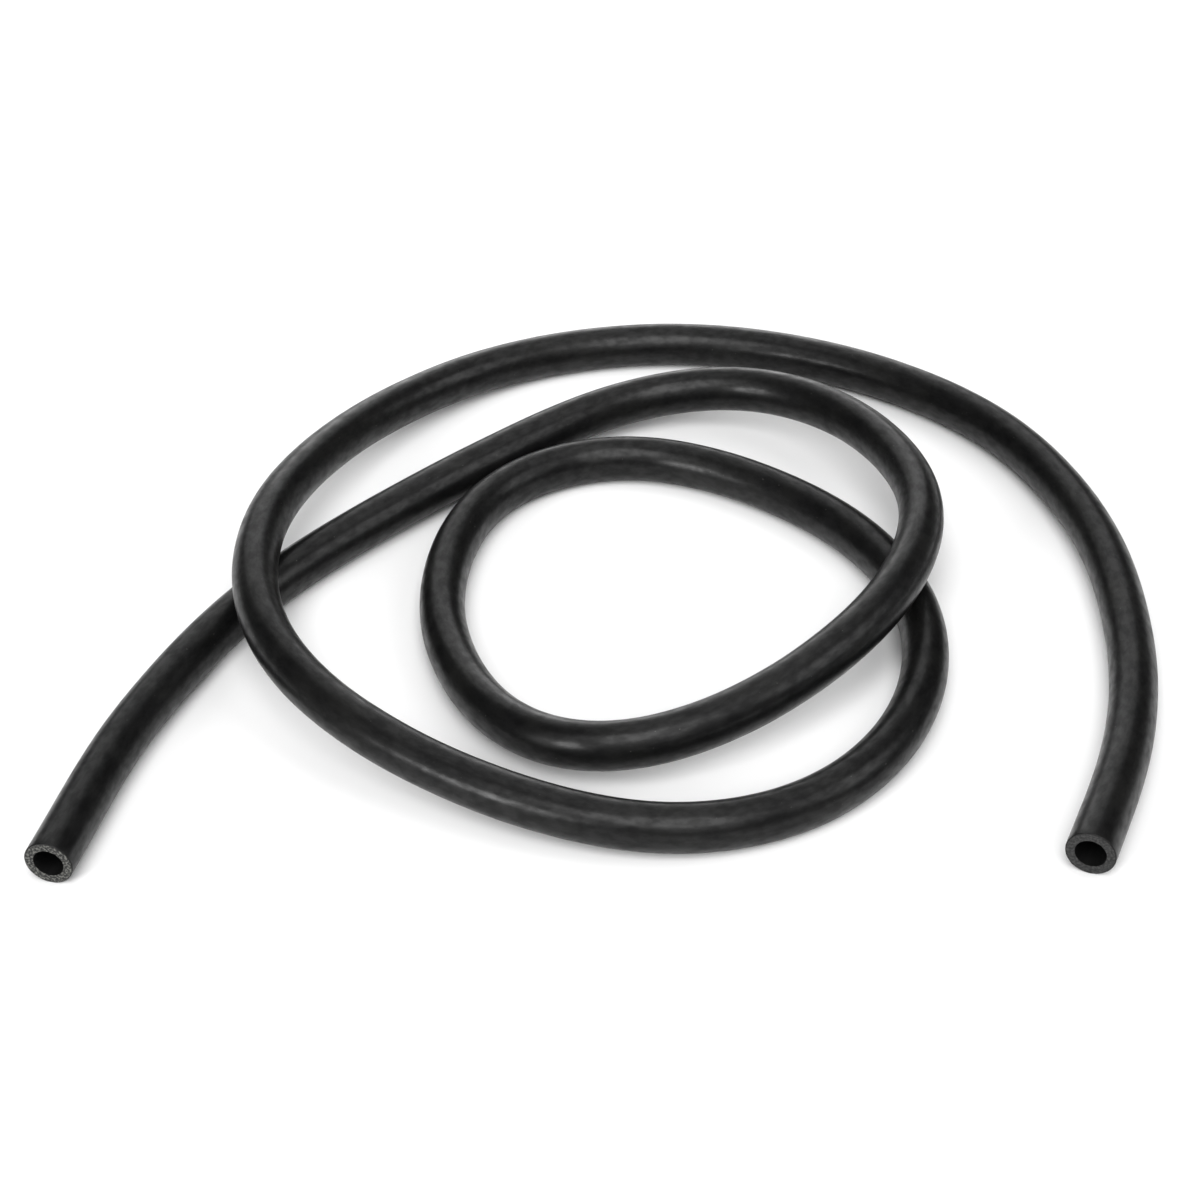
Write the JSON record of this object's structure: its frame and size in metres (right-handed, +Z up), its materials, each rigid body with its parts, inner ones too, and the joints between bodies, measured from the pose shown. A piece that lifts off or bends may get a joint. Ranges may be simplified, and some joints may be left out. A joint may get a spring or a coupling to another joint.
{
  "type": "hydraulic hose",
  "caption": "Plain black rubber hydraulic hose with square-cut open ends, lying loose in its own loops, to carry fluid between two hose fittings.",
  "frame": {"origin": "on the floor, under the middle of the hose's footprint", "axes": "+Z up, +X along the footprint's longer side from the left cut end to the right one, +Y away from the cut ends"},
  "size_m": [0.3668, 0.315, 0.0325],
  "materials": {
    "black_rubber": "matte, smooth extruded skin with a soft sheen"
  },
  "bodies": {
    "root": {"hose": "black_rubber"}
  },
  "joints": []
}
